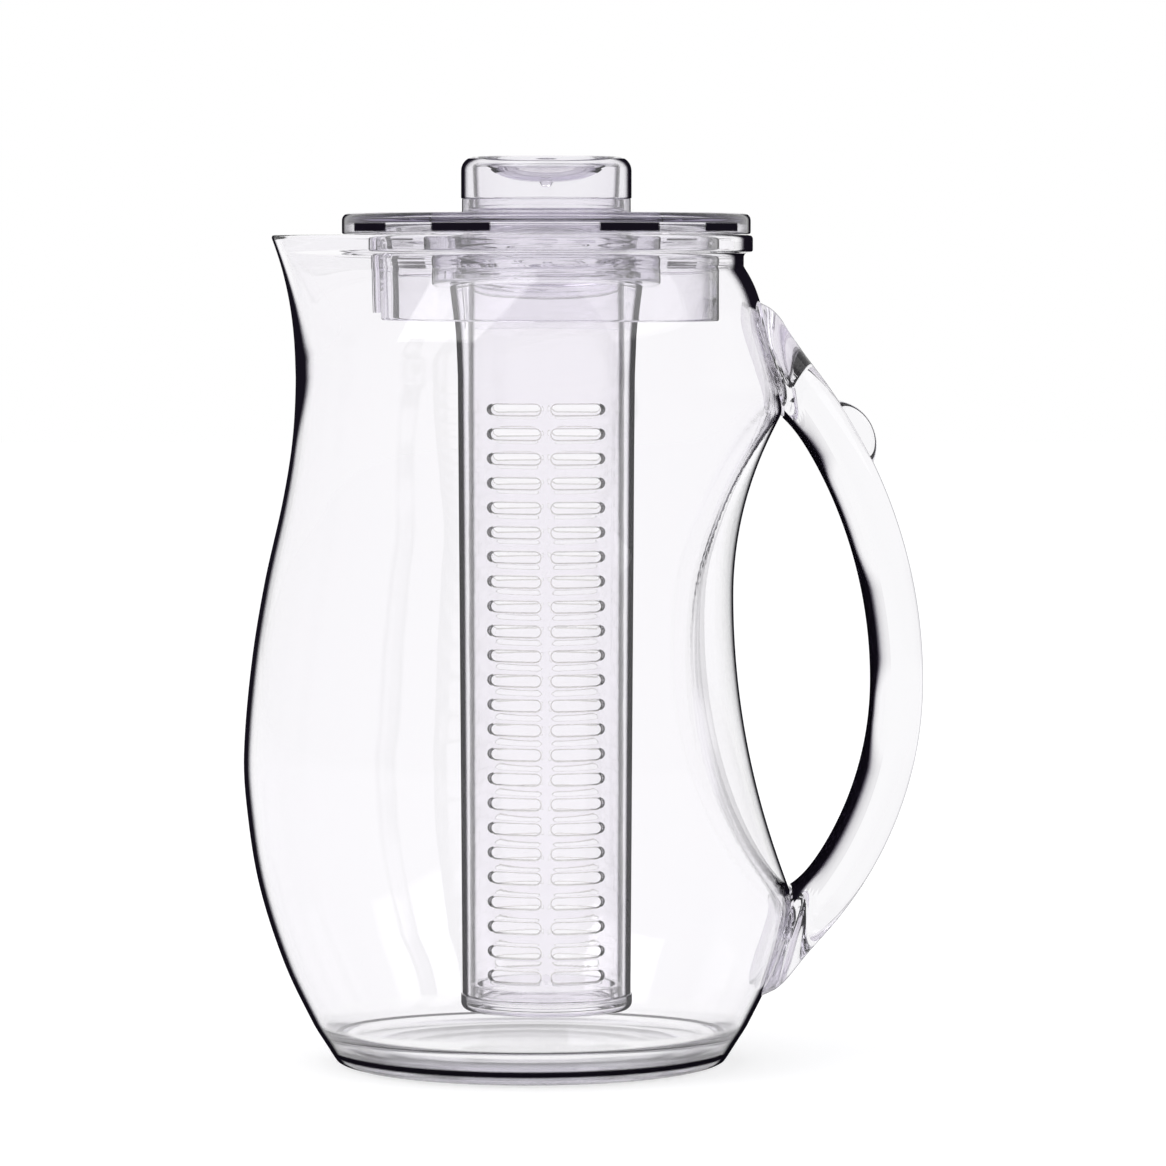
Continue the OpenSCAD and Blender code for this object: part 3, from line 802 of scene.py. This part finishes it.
def make_tube():
    verts, faces = [], []
    add_part(verts, faces, *wall_skin(outer_r))
    add_part(verts, faces, *wall_skin(inner_r))
    add_part(verts, faces, *slot_walls())
    add_part(verts, faces, *ring_stack(neck_rings()))
    lower = rounded([
        (inner_r(SLOT_LOW), SLOT_LOW, 0), (inner_r(SEAM_Z), SEAM_Z + SEAM_GAP, 0.3),
        (outer_r(SEAM_Z), SEAM_Z + SEAM_GAP, 0.3), (outer_r(SLOT_LOW), SLOT_LOW, 0),
    ], 4)
    add_part(verts, faces, *ring_stack([circle_ring(r, z) for r, z in lower]))
    return finish_mesh("infuser_wall", verts, faces, "infuser", ["infuser_tube"], "tube_acrylic",
                       SHARP_TUBE)


def make_end_cap():
    cap_r = TUBE_LOW_R + SEAM_W
    spigot_r = TUBE_LOW_R - TUBE_T - SPIGOT_GAP
    bore_r, floor_z = spigot_r - TUBE_T, TUBE_Z + TUBE_T
    outline = rounded([
        (0, TUBE_Z, 0), (cap_r, TUBE_Z, CAP_EDGE_R), (cap_r, SEAM_Z - SEAM_GAP, 0.3),
        (spigot_r, SEAM_Z - SEAM_GAP, 0.2), (spigot_r, SEAM_Z + CAP_SPIGOT_H, 0.4),
        (bore_r, SEAM_Z + CAP_SPIGOT_H, 0.4), (bore_r, floor_z, 1.6), (0, floor_z, 0),
    ], 8)
    turned = lathe(outline, False)
    return finish_mesh("tube_cap", *turned, "infuser", ["tube_end_cap"], "tube_acrylic")


# Materials

# Colours of clear plastic seen face on, on the turn, and edge on; the turn and edge colours are
# painted shade, dark outlines in place of the dark surroundings that plastic seen edge on would
# show
EDGE, SHADE, CLEAR = (0.05, 0.04, 0.07), (0.94, 0.93, 0.95), (1.0, 1.0, 1.0)
JUG_FACE, HANDLE_FACE = (0.978, 0.972, 0.985), (0.945, 0.94, 0.955)
LID_FACE, TUBE_FACE = (0.985, 0.98, 0.992), (0.965, 0.955, 0.975)
# Painted shade: greys of the handle's roots, face on and edge on
ROOT_FACE, ROOT_SIDE = (0.80, 0.77, 0.83), (0.42, 0.40, 0.45)
# Painted shade: greys of the slots' cut sides, face on and edge on
SLOT_FACE, SLOT_SIDE = (0.62, 0.60, 0.57), (0.34, 0.33, 0.31)
# Near-black and roughness of the painted dark outline on a wall seen edge on
PAINTED_OUTLINE_COLOUR, LINE_ROUGH = (0.010, 0.008, 0.014), 0.5
# Colour and density of thick plastic in the lid
LID_DEPTH = ((0.88, 0.87, 0.90), 120.0)
ACRYLIC_IOR = 1.49
# Finishes: roughness, scale of the moulding's flow, height of its waves in metres
SMOOTH, BLURRED = (0.004, 14.0, 0.0002), (0.12, 14.0, 0.0002)
LID_FINISH, TUBE_FINISH = (0.004, 45.0, 0.0003), (0.006, 60.0, 0.0005)
ROOT_FINISH = (0.01, 60.0, 0.0006)
WAVE_STRENGTH, FLOW_DETAIL = 0.12, 2.0
# How level a surface gets before its edges stop being painted dark
LEVEL_FROM, LEVEL_TO = 0.80, 0.97
# Bands of height in millimetres where painted shade and painted reflections go: low, high, fade
NECK_BAND, SCOOP_BAND, ROOT_BANDS = (198, 236, 22), (54, 186, 6), [(196, 214, 4), (28, 46, 5)]
# Bands of painted shade on the handle's inner side, and how much each adds
INNER_BANDS = [((44, 84, 16), 0.26), ((118, 136, 14), 0.24), ((176, 200, 10), 0.24)]
# Heights of the painted dark line low on the jug's skin, and of the lid rim's painted reflections
BASE_BAND, GLEAM_BAND = (3.2, 4.4, 0.7), (LID_Z + 1.0, LID_Z + 2.9, 0.5)
# How much earlier (above 0) or later the turned surface is painted dark there
NECK_SHIFT, SCOOP_SHIFT, ROOT_SHIFT = 0.12, -0.095, -0.40
# Distances from the jug's axis between which the handle's side begins
HANDLE_SIDE = (46, 56)
# Painted reflections, stretches of the lid's rim: how close, where they start, their soft ends,
# how deep they go
GLEAM_WAVES, GLEAM_PHASE, GLEAM_SOFT, GLEAM_DEPTH = 10.3, 1.17, (-0.04, 0.10), (1.2, 0.6)
# Faces dressed apart: near the wall, past a pocket, facing back, level, and in a slot
WALL_NEAR, POCKET_EDGE, FACES_BACK, NEARLY_LEVEL = 1.0, 1.1, 0.1, 0.9
SLOT_TURNED, SLOT_REACH = 0.86, 0.8


def add_node(tree, kind, given=()):
    """A shader node, with its inputs given by name or number as sockets or plain values."""
    node = tree.nodes.new("ShaderNode" + kind)
    for key, value in dict(given).items():
        if isinstance(value, bpy.types.NodeSocket):
            tree.links.new(value, node.inputs[key])
        else:
            node.inputs[key].default_value = value
    return node


def combine(tree, operation, a, b):
    node = add_node(tree, "Math", {0: a, 1: b})
    node.operation = operation
    return node.outputs[0]


def map_range(tree, value, low, high, to_low=0.0, to_high=1.0, kind="SMOOTHSTEP"):
    node = add_node(tree, "MapRange", {
        "Value": value, "From Min": low, "From Max": high, "To Min": to_low, "To Max": to_high,
    })
    node.interpolation_type = kind
    return node.outputs["Result"]


def axes(tree, source):
    """The X, Y and Z sockets of a vector socket."""
    return add_node(tree, "SeparateXYZ", {0: source}).outputs


def object_axes(tree):
    """The X, Y and Z sockets of a point's place on the object."""
    return axes(tree, add_node(tree, "TexCoord").outputs["Object"])


def mix_shaders(tree, share, first, second):
    return add_node(tree, "MixShader", {"Fac": share, 1: first, 2: second}).outputs[0]


def upright_share(tree):
    """One on upright surfaces, falling to nothing on level ones."""
    normal = axes(tree, add_node(tree, "NewGeometry").outputs["Normal"])
    level = combine(tree, "ABSOLUTE", normal["Z"], 0.0)
    return map_range(tree, level, LEVEL_FROM, LEVEL_TO, 1.0, 0.0)


def facing_ramp(tree, stops, shift=None):
    """A colour ramp over how far an upright surface turns away, 0 face on to 1 edge on."""
    weight = add_node(tree, "LayerWeight", {"Blend": 0.5})
    turned = combine(tree, "MULTIPLY", weight.outputs["Facing"], upright_share(tree))
    if shift:
        turned = combine(tree, "ADD", turned, shift(tree))
    ramp = add_node(tree, "ValToRGB", {"Fac": turned})
    ramp.color_ramp.interpolation = "EASE"
    elements = ramp.color_ramp.elements
    while len(elements) < len(stops):
        elements.new(0.5)
    for element, (place, colour) in zip(elements, stops):
        element.position = place
        element.color = (*colour, 1)
    return ramp.outputs["Color"]


def moulded_finish(tree, shader, finish):
    """The slight unevenness of moulded plastic, in the gloss and in the surface."""
    rough, flow_scale, wave_height = finish
    place = add_node(tree, "TexCoord").outputs["Object"]
    flow = add_node(tree, "TexNoise", {
        "Vector": place, "Scale": flow_scale, "Detail": FLOW_DETAIL,
    }).outputs["Fac"]
    wave = add_node(tree, "Bump", {
        "Strength": WAVE_STRENGTH, "Distance": wave_height, "Height": flow,
    })
    gloss = map_range(tree, flow, 0, 1, rough * 0.4, rough * 1.6, "LINEAR")
    tree.links.new(gloss, shader.inputs["Roughness"])
    tree.links.new(wave.outputs["Normal"], shader.inputs["Normal"])


def height_band(tree, low, high, soft):
    """One between two heights in millimetres, fading to nothing beyond them."""
    z = object_axes(tree)["Z"]
    above = map_range(tree, z, (low - soft) * MM, low * MM)
    below = map_range(tree, z, high * MM, (high + soft) * MM, 1.0, 0.0)
    return combine(tree, "MULTIPLY", above, below)


def weighted(tree, shares):
    """The sum of (share, weight) pairs."""
    total = 0.0
    for share, weight in shares:
        part = combine(tree, "MULTIPLY", share, weight)
        total = combine(tree, "ADD", part, total)
    return total


def painted_jug_outlines(tree):
    """Painted shade: broad painted outlines on the thick neck, fine ones on the scoop, none under
    the handle's roots.
    """
    near, far = HANDLE_SIDE
    by_handle = map_range(tree, object_axes(tree)["X"], near * MM, far * MM)
    scoop = combine(tree, "MULTIPLY", height_band(tree, *SCOOP_BAND), by_handle)
    upper, lower = (height_band(tree, *band) for band in ROOT_BANDS)
    roots = combine(tree, "MULTIPLY", combine(tree, "ADD", upper, lower), by_handle)
    neck = height_band(tree, *NECK_BAND)
    return weighted(tree, [(neck, NECK_SHIFT), (scoop, SCOOP_SHIFT), (roots, ROOT_SHIFT)])


def painted_handle_shade(tree):
    """Painted shade: the handle's inner side is painted darkest towards its roots and half way up.
    """
    return weighted(tree, [
        (height_band(tree, *band), weight) for band, weight in INNER_BANDS
    ])


def painted_rim_reflections(tree):
    """Painted reflections: dark and bright stretches that alternate round the lid's rim."""
    place = object_axes(tree)
    across = combine(tree, "SUBTRACT", place["X"], MOUTH_X * MM)
    ahead = combine(tree, "MULTIPLY", place["Y"], -1.0)
    bearing = combine(tree, "ARCTAN2", across, ahead)
    either = combine(tree, "ABSOLUTE", bearing, 0.0)
    turns = combine(tree, "MULTIPLY", either, GLEAM_WAVES)
    shifted = combine(tree, "SUBTRACT", turns, GLEAM_PHASE)
    wave = combine(tree, "COSINE", shifted, 0.0)
    dark = map_range(tree, wave, *GLEAM_SOFT, 1.0, 0.0)
    out = combine(tree, "MULTIPLY", across, across)
    deep = combine(tree, "MULTIPLY", ahead, ahead)
    spread = combine(tree, "SQRT", combine(tree, "ADD", out, deep), 0.0)
    on_rim = map_range(tree, spread, *((LID_R - depth) * MM for depth in GLEAM_DEPTH))
    band = height_band(tree, *GLEAM_BAND)
    return combine(tree, "MULTIPLY", combine(tree, "MULTIPLY", dark, on_rim), band)


def painted_base_shade(tree):
    """Painted shade: the dark line low on the jug's skin."""
    return height_band(tree, *BASE_BAND)


def bare_tree(owner, kind):
    """The node tree of a material or world, with nothing in it but its output."""
    owner.use_nodes = True
    owner.node_tree.nodes.clear()
    return owner.node_tree, add_node(owner.node_tree, kind)


def clear_plastic(name, tints, finish, depth=None, rim=None, band=None, shift=None):
    """Clear moulded acrylic: refracting, with painted shade, a darker colour, where it is seen
    edge on.

    tints are the ramp's stops, and rim is where along it a wall's outermost line is painted
    near-black, as painted shade. depth is the colour and density of thick plastic. band and shift
    make the nodes that add a painted dark stretch to that line and that move the ramp.
    """
    mat = bpy.data.materials.new(name)
    tree, out = bare_tree(mat, "OutputMaterial")
    shader = add_node(tree, "BsdfPrincipled", {
        "Base Color": facing_ramp(tree, tints, shift), "IOR": ACRYLIC_IOR,
        "Transmission Weight": 1.0,
    })
    moulded_finish(tree, shader, finish)
    surface = shader.outputs["BSDF"]
    if rim:
        # Painted shade: a near-black matte surface without gloss, mixed in where the wall is seen
        # edge on
        line = add_node(tree, "BsdfPrincipled", {
            "Base Color": (*PAINTED_OUTLINE_COLOUR, 1), "Roughness": LINE_ROUGH, "Specular IOR Level": 0.0,
        })
        share = facing_ramp(tree, [(rim[0], (0, 0, 0)), (rim[1], (1, 1, 1))], shift)
        if band:
            share = combine(tree, "MAXIMUM", share, band(tree))
        surface = mix_shaders(tree, share, surface, line.outputs["BSDF"])
    tree.links.new(surface, out.inputs["Surface"])
    if depth:
        absorb = add_node(tree, "VolumeAbsorption", {
            "Color": (*depth[0], 1), "Density": depth[1],
        })
        tree.links.new(absorb.outputs["Volume"], out.inputs["Volume"])
    return mat


def outward(face):
    """Whether a face looks away from the jug's axis."""
    return face.center.x * face.normal.x + face.center.y * face.normal.y > 0


def dress(piece, material):
    piece.data.materials.clear()
    piece.data.materials.append(material)


def dress_outer_skin(piece, material):
    """Gives the faces that look away from the jug's axis a material of their own."""
    piece.data.materials.append(material)
    for p in piece.data.polygons:
        p.material_index = 1 if outward(p) else 0


def dress_base(piece, material):
    """Gives the floor inside the jug, and the hollow under it, a material of their own."""
    piece.data.materials.append(material)
    for p in piece.data.polygons:
        low = p.center.z < (FLOOR_Z + HEEL_H) * MM
        under = p.normal.z < 0 and hypot(p.center.x, p.center.y) < (FOOT_R - FOOT_W) * MM
        if low and (not outward(p) or p.normal.z > NEARLY_LEVEL or under):
            p.material_index = 2


def on_root(point):
    """Whether a point of the handle, in millimetres, lies in a pocket or against the wall."""
    if point.x < skin_x(point.y, point.z) + WALL_NEAR:
        return True
    for x, z, half_h, depth, half_w, lean in (POCKET_TOP, POCKET_LOW):
        c, s = cos(radians(lean)), sin(radians(lean))
        out = (point.x - x) * c + (point.z - z) * s
        along = (point.z - z) * c - (point.x - x) * s
        if (out / depth) ** 2 + (point.y / half_w) ** 2 + (along / half_h) ** 2 < POCKET_EDGE:
            return True
    return False


def dress_handle(piece, inner_side, roots):
    """Gives the faces that look back to the jug, and those of the roots, their own materials,
    which carry painted shade.
    """
    piece.data.materials.append(inner_side)
    piece.data.materials.append(roots)
    for p in piece.data.polygons:
        arc_r = HANDLE_TOP_R if p.center.z > HANDLE_H * MM else HANDLE_LOW_R
        way = Vector((p.center.x - (HANDLE_X - arc_r) * MM, 0, p.center.z - HANDLE_H * MM))
        within = way.length < (arc_r - HANDLE_T / 2) * MM
        inner = within and way.normalized().dot(p.normal) < -FACES_BACK
        p.material_index = 2 if on_root(p.center / MM) else 1 if inner else 0


def dress_slot_edges(piece, material):
    """Gives the cut faces of the tube's slots a material of their own, painted grey as shade."""
    piece.data.materials.append(material)
    for p in piece.data.polygons:
        way = Vector((p.center.x - MOUTH_X * MM, p.center.y, 0)).normalized()
        cut = abs(way.dot(p.normal)) < SLOT_TURNED and abs(way.x) < SLOT_REACH
        within = SLOT_LOW * MM < p.center.z < SLOT_HIGH * MM
        p.material_index = 1 if cut and within else 0


# Stage

# Upright light panels: how many, how light, and their soft edges
PANEL_COUNT, PANEL_LIGHT, PANEL_EDGES, PANEL_COLOUR = 5.0, 0.98, (-0.25, 0.35), (0.93, 0.90, 1.0)
# Walls that a ray passes before the light between the panels gets softer, and that light
SOFTER_WALLS, GAP_LIGHT = (2.5, 5.5), (0.08, 0.70)
SOFT_LIGHT, SOFT_STRENGTH = (0.97, 0.97, 1.0), 0.75
# The floor: its grey and glow as seen and through plastic, and its glow to turned rays
FLOOR_HALF, FLOOR_DROP = 6.0, 0.0002
FLOOR_GREYS, FLOOR_LIFTS, FLOOR_ASIDE = (0.55, 0.06), (0.62, 0.95), 0.80
LIGHT_SIZE, LIGHT_TARGET = 2.4, (0, 0, 0.12)
KEY_PLACE, KEY_POWER = (-1.6, -1.2, 2.6), 32
FILL_PLACE, FILL_POWER = (1.9, -1.0, 2.2), 16
CAMERA_SENSOR, CAMERA_LENS, CAMERA_FAR = 36.0, 186.0, 50
CAMERA_PLACE, CAMERA_DOWN = (0.015, -1.728, 0.230), 3.04
CLEAR_BOUNCES, GLOSSY_BOUNCES = 40, 12


def ray_shares(tree):
    """Rays that show the backdrop, were turned aside in plastic or went through, and the walls."""
    path = add_node(tree, "LightPath").outputs
    through = path["Is Transmission Ray"]
    turned = combine(tree, "MULTIPLY", through, map_range(tree, path["Glossy Depth"], 1.0, 2.0))
    sight = combine(tree, "MAXIMUM", path["Is Camera Ray"], path["Is Glossy Ray"])
    sight = combine(tree, "MAXIMUM", sight, through)
    backdrop = combine(tree, "SUBTRACT", sight, turned)
    return backdrop, turned, through, path["Transmission Depth"]


def panel_light(tree, walls):
    """Upright light panels round the room, softer for rays that have passed more walls."""
    parts = axes(tree, add_node(tree, "TexCoord").outputs["Generated"])
    bearing = combine(tree, "ARCTAN2", parts["Y"], parts["X"])
    turns = combine(tree, "MULTIPLY", bearing, PANEL_COUNT)
    wave = combine(tree, "SINE", turns, 0.0)
    dark = map_range(tree, walls, *SOFTER_WALLS, *GAP_LIGHT)
    return map_range(tree, wave, *PANEL_EDGES, dark, PANEL_LIGHT)


def background(tree, colour, strength=1.0):
    given = {"Color": (*colour, 1), "Strength": strength}
    return add_node(tree, "Background", given).outputs[0]


def make_world():
    """A white backdrop, and a dim room for rays that were turned aside inside the plastic."""
    world = bpy.data.worlds.new("studio")
    bpy.context.scene.world = world
    tree, out = bare_tree(world, "OutputWorld")
    backdrop, turned, _, walls = ray_shares(tree)
    soft = background(tree, SOFT_LIGHT, SOFT_STRENGTH)
    panels = background(tree, PANEL_COLOUR, panel_light(tree, walls))
    room = mix_shaders(tree, turned, soft, panels)
    seen = mix_shaders(tree, backdrop, room, background(tree, CLEAR))
    tree.links.new(seen, out.inputs["Surface"])


def make_floor():
    """A pale floor that gives the backdrop's white, and keeps the object's shadow."""
    mesh = bpy.data.meshes.new("floor")
    s = FLOOR_HALF
    mesh.from_pydata([(-s, -s, 0), (s, -s, 0), (s, s, 0), (-s, s, 0)], [], [(0, 1, 2, 3)])
    floor = add_object("floor", mesh)
    floor.location.z = -FLOOR_DROP
    mat = bpy.data.materials.new("pale_floor")
    tree, out = bare_tree(mat, "OutputMaterial")
    backdrop, turned, through, _ = ray_shares(tree)
    shade = add_node(tree, "Mix", {"Factor": through})
    shade.data_type = "RGBA"
    for name, grey in zip("AB", FLOOR_GREYS):
        shade.inputs[name].default_value = (grey, grey, grey, 1)
    lift = map_range(tree, through, 0.0, 1.0, *FLOOR_LIFTS)
    lit = combine(tree, "MULTIPLY", backdrop, lift)
    aside = combine(tree, "MULTIPLY", turned, FLOOR_ASIDE)
    matt = add_node(tree, "BsdfDiffuse", {"Color": shade.outputs["Result"]})
    glow = add_node(tree, "Emission", {
        "Color": (1, 1, 1, 1), "Strength": combine(tree, "MAXIMUM", lit, aside),
    })
    both = add_node(tree, "AddShader", {0: matt.outputs[0], 1: glow.outputs[0]})
    tree.links.new(both.outputs[0], out.inputs["Surface"])
    mesh.materials.append(mat)


def make_light(name, place, power):
    """A square area light that points at the middle of the object."""
    data = bpy.data.lights.new(name, "AREA")
    data.shape = "RECTANGLE"
    data.size = data.size_y = LIGHT_SIZE
    data.energy = power
    lamp = add_object(name, data)
    lamp.location = place
    lamp.rotation_mode = "QUATERNION"
    lamp.rotation_quaternion = (Vector(LIGHT_TARGET) - Vector(place)).to_track_quat("-Z", "Y")


def make_camera():
    data = bpy.data.cameras.new("camera")
    data.sensor_width = CAMERA_SENSOR
    data.lens = CAMERA_LENS
    data.clip_end = CAMERA_FAR
    camera = add_object("camera", data)
    camera.location = CAMERA_PLACE
    camera.rotation_euler = (radians(90 - CAMERA_DOWN), 0, 0)
    bpy.context.scene.camera = camera


make_camera()
make_world()
make_floor()
make_light("key", KEY_PLACE, KEY_POWER)
make_light("fill", FILL_PLACE, FILL_POWER)
bpy.context.scene.view_settings.view_transform = "Standard"
cycles = bpy.context.scene.cycles
cycles.max_bounces = cycles.transmission_bounces = cycles.transparent_max_bounces = CLEAR_BOUNCES
cycles.glossy_bounces = GLOSSY_BOUNCES

# The stops set how broad a piece's painted dark outlines are
JUG_BORE = clear_plastic("clear_bore", [(0.0, JUG_FACE), (1.0, JUG_FACE)], SMOOTH)
JUG_SKIN = clear_plastic("clear_skin", [(0.0, JUG_FACE), (0.72, SHADE), (0.82, EDGE)], SMOOTH,
                         rim=(0.77, 0.84), band=painted_base_shade, shift=painted_jug_outlines)
JUG_BASE = clear_plastic("clear_base", [(0.0, CLEAR), (1.0, CLEAR)], BLURRED)
HANDLE_CLEAR = clear_plastic("clear_handle", [(0.0, HANDLE_FACE), (0.66, SHADE), (0.86, EDGE)],
                             SMOOTH, rim=(0.84, 0.92))
# Painted shade: the handle's inner side is painted dark over a broad band as it turns away
HANDLE_INNER = clear_plastic("clear_handle_inner",
                             [(0.0, HANDLE_FACE), (0.16, SHADE), (0.50, EDGE)], SMOOTH,
                             rim=(0.34, 0.54), shift=painted_handle_shade)
HANDLE_ROOT_SHADED = clear_plastic("handle_root_painted_shade", [(0.0, ROOT_FACE), (1.0, ROOT_SIDE)],
                            ROOT_FINISH)
LID_CLEAR = clear_plastic("clear_lid", [(0.0, LID_FACE), (0.62, SHADE), (0.80, EDGE)],
                          LID_FINISH, LID_DEPTH, rim=(0.80, 0.88), band=painted_rim_reflections)
KNOB_CLEAR = clear_plastic("clear_knob", [(0.0, LID_FACE), (0.56, SHADE), (0.70, EDGE)],
                           LID_FINISH, LID_DEPTH, rim=(0.64, 0.74))
TUBE_CLEAR = clear_plastic("clear_tube", [(0.0, TUBE_FACE), (0.56, SHADE), (0.68, EDGE)],
                           TUBE_FINISH, rim=(0.61, 0.69))
SLOT_EDGE_SHADED = clear_plastic("slot_edge_painted_shade", [(0.0, SLOT_FACE), (1.0, SLOT_SIDE)], TUBE_FINISH)

jug = make_jug()
dress(jug, JUG_BORE)
dress_outer_skin(jug, JUG_SKIN)
dress_base(jug, JUG_BASE)
handle = make_handle()
dress(handle, HANDLE_CLEAR)
dress_handle(handle, HANDLE_INNER, HANDLE_ROOT_SHADED)
dress(make_lid(), LID_CLEAR)
dress(make_knob(), KNOB_CLEAR)
tube = make_tube()
dress(tube, TUBE_CLEAR)
dress_slot_edges(tube, SLOT_EDGE_SHADED)
dress(make_end_cap(), TUBE_CLEAR)
